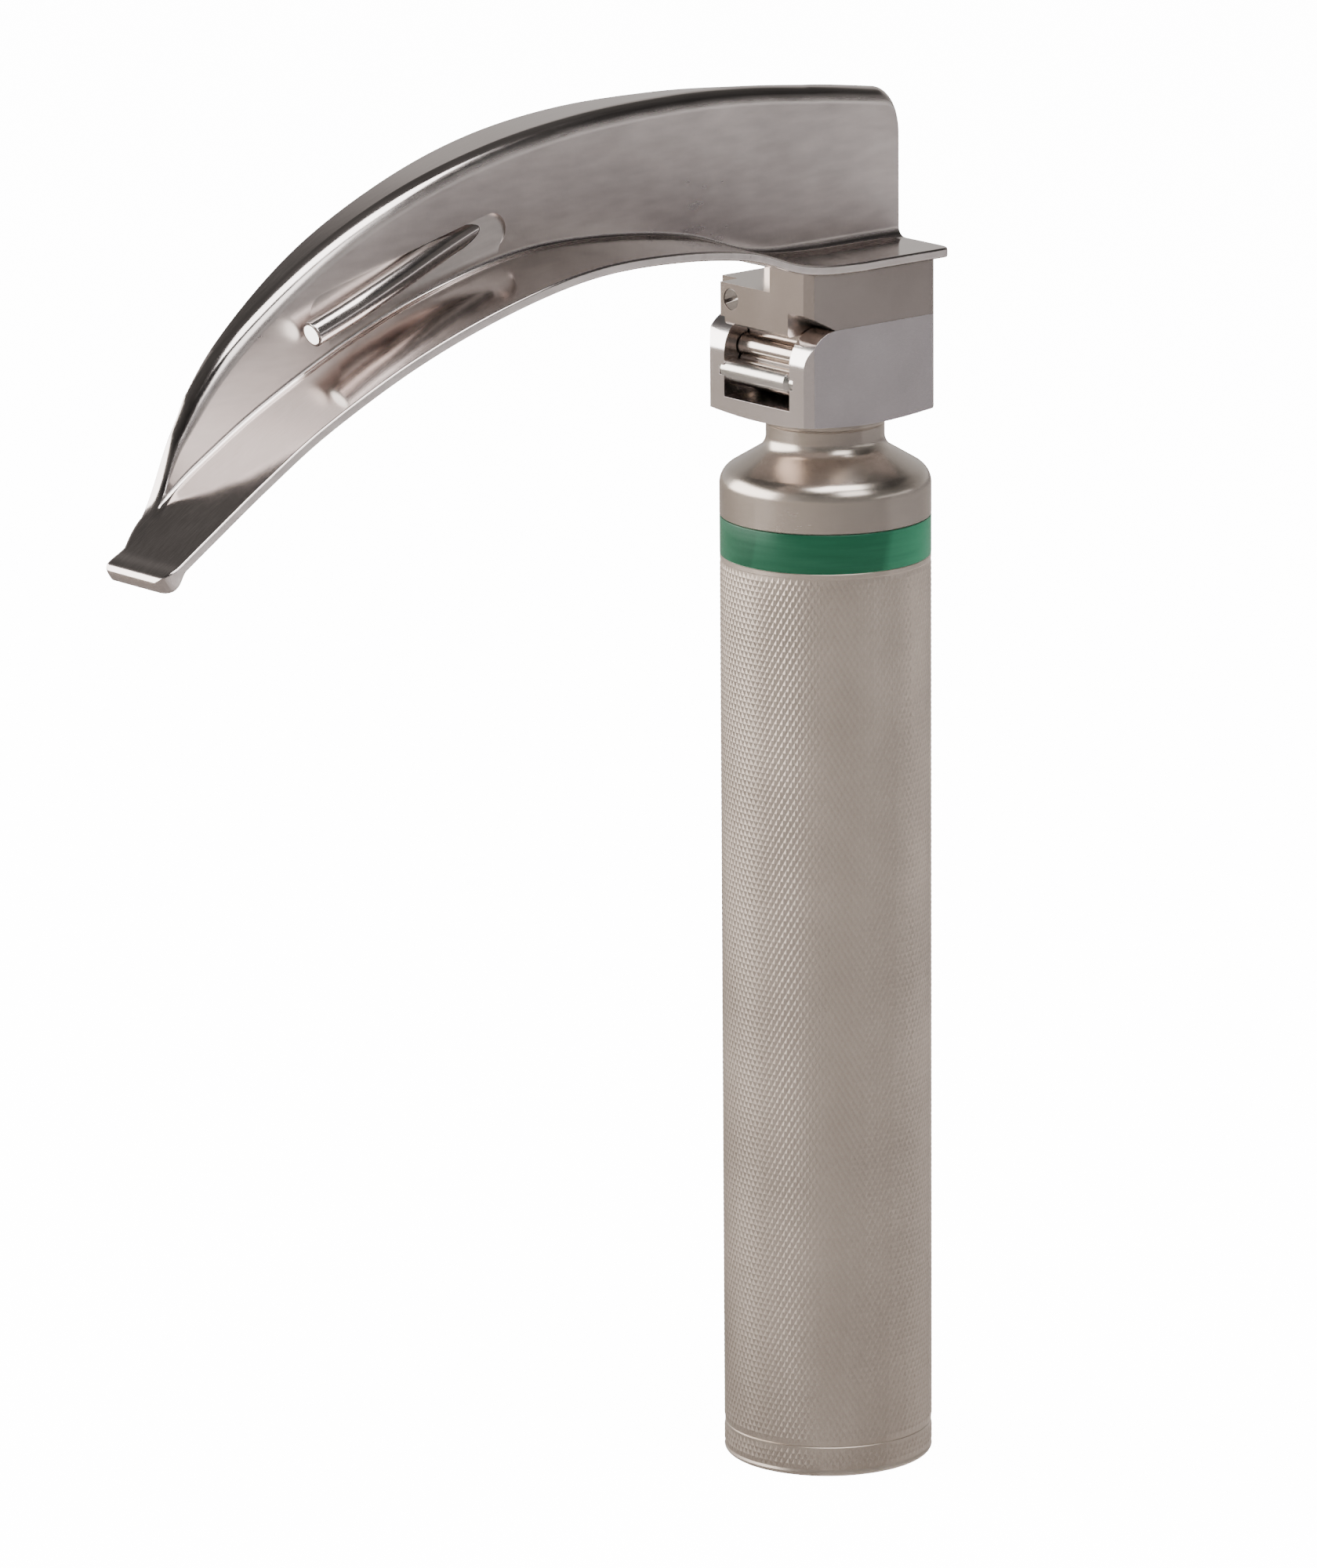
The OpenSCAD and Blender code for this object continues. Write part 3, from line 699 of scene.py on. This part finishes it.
def cut_blade(blade):
    """Cuts the pocket and passage in the web that the light guide comes through, and its hole in the heel."""
    half = POCKET_W / 2
    outline = arc((0, 0), half, 90, 270, 24) + arc((POCKET_LENGTH, 0), half, -90, 90, 24)

    def spot(x, y, right):
        return place(
            POCKET_BACK[0] + x * cosd(POCKET_DROP) + y * sind(POCKET_DROP), right,
            POCKET_BACK[1] - x * sind(POCKET_DROP) + y * cosd(POCKET_DROP),
        )

    mouth = [spot(x, y, WEB_NEAR + 2) for x, y in outline]
    floor = [spot(x, y, WEB_NEAR + 0.02 - POCKET_DEPTH * (y + half) / POCKET_W) for x, y in outline]
    path = [place(*curve(GUIDE, u)) for u in steps(8, 12.5, 60)]
    ring = arc((GUIDE[3][0], GUIDE[3][1]), GUIDE_D / 2 + 0.4, 0, 352.5, 47)
    cutters = [
        skin("pocket_cutter", [mouth, floor]),
        skin("passage_cutter", [tube_ring(path, i, GUIDE_D / 2 + 0.05) for i in range(len(path))]),
        skin("heel_cutter", [[place(f, r, z) for f, r in ring] for z in (HEEL_TOP - 3, HEEL_TOP + 2)]),
    ]
    for cutter in cutters:
        cut = blade.modifiers.new("cut", "BOOLEAN")
        cut.operation = "DIFFERENCE"
        cut.solver = "EXACT"
        cut.object = cutter
        graph = bpy.context.evaluated_depsgraph_get()
        mesh = bpy.data.meshes.new_from_object(blade.evaluated_get(graph))
        blade.modifiers.clear()
        blade.data = mesh
        bpy.data.objects.remove(cutter)


# --- light guide ---


def tube_ring(path, i, r, sides=36):
    ahead = path[min(i + 1, len(path) - 1)]
    behind = path[max(i - 1, 0)]
    along = (ahead - behind).normalized()
    across = Vector((0, 1, 0)).cross(along).normalized()
    third = along.cross(across)
    turns = [360 * j / sides for j in range(sides)]
    return [path[i] + r * MM * (cosd(a) * across + sind(a) * third) for a in turns]


def build_guide():
    last = len(GUIDE) - 1
    path = [place(*curve(GUIDE, u)) for u in steps(0.5, last, 150)]
    outer_r, inner_r = GUIDE_D / 2, FIBRE_D / 2 + 0.06
    lip = 0.18
    n = len(path) - 1
    end = (path[n] - path[n - 1]).normalized() * MM
    rings = [tube_ring(path, i, outer_r) for i in range(n)]
    for a in (0, 30, 60, 90):
        back = lip * (1 - sind(a)) * end
        rings.append([p - back for p in tube_ring(path, n, outer_r - lip * (1 - cosd(a)))])
    rings.append(tube_ring(path, n, inner_r))
    rings += [tube_ring(path, i, inner_r) for i in range(n - 1, -1, -1)]
    rings.append(rings[0])
    tube = skin("guide_tube", rings, closed_ends=False)
    merge_close(tube)
    crease_by_angle(tube, 50)
    stand_for(tube, "light_guide_tube", "blade", guide_metal)

    rings = [tube_ring(path, i, FIBRE_D / 2) for i in range(n + 1)]
    for share in (0.9, 0.7, 0.45, 0.2, 0.02):
        dome = 0.1 * (1 - share**2) * end
        rings.append([p + dome for p in tube_ring(path, n, share * FIBRE_D / 2)])
    bundle = skin("fibre_end", rings)
    crease_by_angle(bundle, 50)
    stand_for(bundle, "fibre_bundle", "blade", fibre)


# --- machined blocks ---


def build_blocks():
    stand_for(finish_cad("head_block", 0.22), "head_block", "handle", head_metal)
    stand_for(finish_cad("base_block", 0.18), "base_block", "blade", block_metal)
    stand_for(finish_cad("guide_screw", 0.06, 2), "guide_screw", "blade", screw_metal)


def paint_nodes():
    """Finishes for the CAD nodes that show as they are, and for what is inside the handle."""
    plan = {
        pin_metal: ("hinge_pin", "lamp_plunger", "detent_ball_near", "detent_ball_far"),
        contact_brass: ("lamp_bush", "contact_rod", "spring_seat"),
        spring_steel: ("lamp_spring", "cap_spring", "detent_spring"),
        insulator: ("spring_washer", "contact_plug"),
        battery_jacket: ("battery_upper", "battery_lower"),
        seal_rubber: ("cap_oring",),
        guide_metal: ("light_inlet",),
        window_glass: ("inlet_window",),
        lamp_glass: ("lamp_bulb",),
    }
    for shader, names in plan.items():
        shader.use(*(nodes[name] for name in names))


# --- stage, light and camera ---

FLOOR_HALF_M = 6.0
FLOOR_COLOUR = (0.9, 0.9, 0.9)
FLOOR_GLOW = 14
# How bright the floor is in reflections and bounced light: at the left and back, and at the right, and how
# far from the object along TO_LEFT each is reached
FLOOR_LEFT = (0.5, 0.435, 0.375)
FLOOR_RIGHT = (0.17, 0.155, 0.165)
TO_LEFT = (-0.66, 0.75, 0)
FLOOR_BLEND_M = 0.7
# Brightness of the room by height, from the horizon to overhead
ROOM = ((0, 0.8), (0.5, 0.6), (0.62, 0.1), (0.85, 0.1), (1, 0.15))
# How much of that brightness is left in front of the object
ROOM_FRONT = 0.16


def build_floor():
    """A pale floor that the camera sees white, and that is dimmer in reflections and bounced light."""
    half = FLOOR_HALF_M
    corners = [(-half, -half, 0), (half, -half, 0), (half, half, 0), (-half, half, 0)]
    mesh = bpy.data.meshes.new("floor")
    mesh.from_pydata(corners, [], [(0, 1, 2, 3)])
    floor = new_object("floor", mesh)
    material = bpy.data.materials.new("floor")
    material.use_nodes = True
    tree = material.node_tree
    tree.nodes.clear()
    out = tree.nodes.new("ShaderNodeOutputMaterial")
    white = tree.nodes.new("ShaderNodeBsdfDiffuse")
    white.inputs["Color"].default_value = (*FLOOR_COLOUR, 1)
    glow = tree.nodes.new("ShaderNodeEmission")
    glow.inputs["Strength"].default_value = FLOOR_GLOW
    lit = tree.nodes.new("ShaderNodeAddShader")
    tree.links.new(white.outputs[0], lit.inputs[0])
    tree.links.new(glow.outputs[0], lit.inputs[1])
    coords = tree.nodes.new("ShaderNodeTexCoord")
    along = tree.nodes.new("ShaderNodeVectorMath")
    along.operation = "DOT_PRODUCT"
    along.inputs[1].default_value = TO_LEFT
    tree.links.new(coords.outputs["Object"], along.inputs[0])
    share = tree.nodes.new("ShaderNodeMapRange")
    share.inputs["From Min"].default_value = -FLOOR_BLEND_M
    share.inputs["From Max"].default_value = FLOOR_BLEND_M
    tree.links.new(along.outputs["Value"], share.inputs["Value"])
    ramp = tree.nodes.new("ShaderNodeValToRGB")
    ramp.color_ramp.elements[0].color = (*FLOOR_RIGHT, 1)
    ramp.color_ramp.elements[1].color = (*FLOOR_LEFT, 1)
    tree.links.new(share.outputs[0], ramp.inputs["Fac"])
    dim = tree.nodes.new("ShaderNodeEmission")
    tree.links.new(ramp.outputs["Color"], dim.inputs["Color"])
    seen = tree.nodes.new("ShaderNodeLightPath")
    bounced = tree.nodes.new("ShaderNodeMath")
    bounced.operation = "MAXIMUM"
    tree.links.new(seen.outputs["Is Glossy Ray"], bounced.inputs[0])
    tree.links.new(seen.outputs["Is Diffuse Ray"], bounced.inputs[1])
    mix = tree.nodes.new("ShaderNodeMixShader")
    tree.links.new(bounced.outputs[0], mix.inputs["Fac"])
    tree.links.new(lit.outputs[0], mix.inputs[1])
    tree.links.new(dim.outputs[0], mix.inputs[2])
    tree.links.new(mix.outputs[0], out.inputs["Surface"])
    mesh.materials.append(material)


def build_room():
    """A studio with light walls, a dark band above them and a ceiling a little lighter, dim in front."""
    world = bpy.data.worlds.new("studio")
    bpy.context.scene.world = world
    world.use_nodes = True
    tree = world.node_tree
    background = tree.nodes["Background"]
    coords = tree.nodes.new("ShaderNodeTexCoord")
    split = tree.nodes.new("ShaderNodeSeparateXYZ")
    ramp = tree.nodes.new("ShaderNodeValToRGB")
    while len(ramp.color_ramp.elements) < len(ROOM):
        ramp.color_ramp.elements.new(0.5)
    for element, (height, level) in zip(ramp.color_ramp.elements, ROOM):
        element.position = height
        element.color = (level, level * 0.97, level * 0.94, 1)
    tree.links.new(coords.outputs["Generated"], split.inputs[0])
    tree.links.new(split.outputs["Z"], ramp.inputs["Fac"])
    tree.links.new(ramp.outputs["Color"], background.inputs["Color"])
    front = tree.nodes.new("ShaderNodeMapRange")
    for socket, value in zip(("From Min", "From Max", "To Min", "To Max"), (-0.5, 0.4, ROOM_FRONT, 1)):
        front.inputs[socket].default_value = value
    tree.links.new(split.outputs["Y"], front.inputs["Value"])
    tree.links.new(front.outputs[0], background.inputs["Strength"])


def softbox(name, place_m, size_m, power, aim=(0, 0, 0.09), colour=(1, 1, 1)):
    data = bpy.data.lights.new(name, "AREA")
    data.shape = "RECTANGLE"
    data.size, data.size_y = size_m
    data.energy = power
    data.color = colour
    light = bpy.data.objects.new(name, data)
    bpy.context.scene.collection.objects.link(light)
    light.location = place_m
    light.rotation_euler = (Vector(aim) - Vector(place_m)).to_track_quat("-Z", "Y").to_euler()


def around(azimuth, distance, height):
    """A place at an angle round the object: 0 is in front at -Y, and it grows towards +X."""
    return (distance * sind(azimuth), -distance * cosd(azimuth), height)


# Camera: where it stands, how it is turned in degrees, and its lens
VIEW_AZIMUTH = -41
CAMERA_DISTANCE_M = 1.3162
CAMERA_HEIGHT_M = 0.4216
CAMERA_PITCH = 14.05
CAMERA_PAN = -0.97
CAMERA_ROLL = -0.41
LENS_MM = 234.5


def build_lights():
    softbox("left_wall", (-0.68, 0.62, 0.4), (1.2, 0.6), 19, aim=(0, 0, 0.4), colour=(1, 0.98, 0.95))
    softbox("top", (-0.1, -0.35, 1.3), (0.9, 0.6), 16)
    softbox("key", (-0.1, -1.0, 0.95), (0.6, 0.5), 5)
    softbox("low", (0.84, -1.0, 0.25), (1.2, 0.12), 0.55, aim=(0, 0, 0.25))


def build_camera():
    """A long lens looking down a little, level but for the photograph's slight turn."""
    pitch, roll = CAMERA_PITCH, CAMERA_ROLL
    data = bpy.data.cameras.new("camera")
    data.sensor_fit = "VERTICAL"
    data.sensor_height = 36
    data.lens = LENS_MM
    data.clip_end = 50
    camera = bpy.data.objects.new("camera", data)
    bpy.context.scene.collection.objects.link(camera)
    camera.location = around(VIEW_AZIMUTH, CAMERA_DISTANCE_M, CAMERA_HEIGHT_M)
    turn = VIEW_AZIMUTH - CAMERA_PAN
    ahead = Vector((-sind(turn) * cosd(pitch), cosd(turn) * cosd(pitch), -sind(pitch)))
    level = Vector((cosd(turn), sind(turn), 0))
    upright = level.cross(ahead)
    right = cosd(roll) * level + sind(roll) * upright
    up = -sind(roll) * level + cosd(roll) * upright
    rotation = camera.matrix_world.to_3x3()
    for row in range(3):
        rotation[row] = (right[row], up[row], -ahead[row])
    camera.rotation_euler = rotation.to_euler()
    bpy.context.scene.camera = camera


build_handle()
build_cap()
build_blade()
build_guide()
build_blocks()
paint_nodes()
build_floor()
build_room()
build_lights()
build_camera()
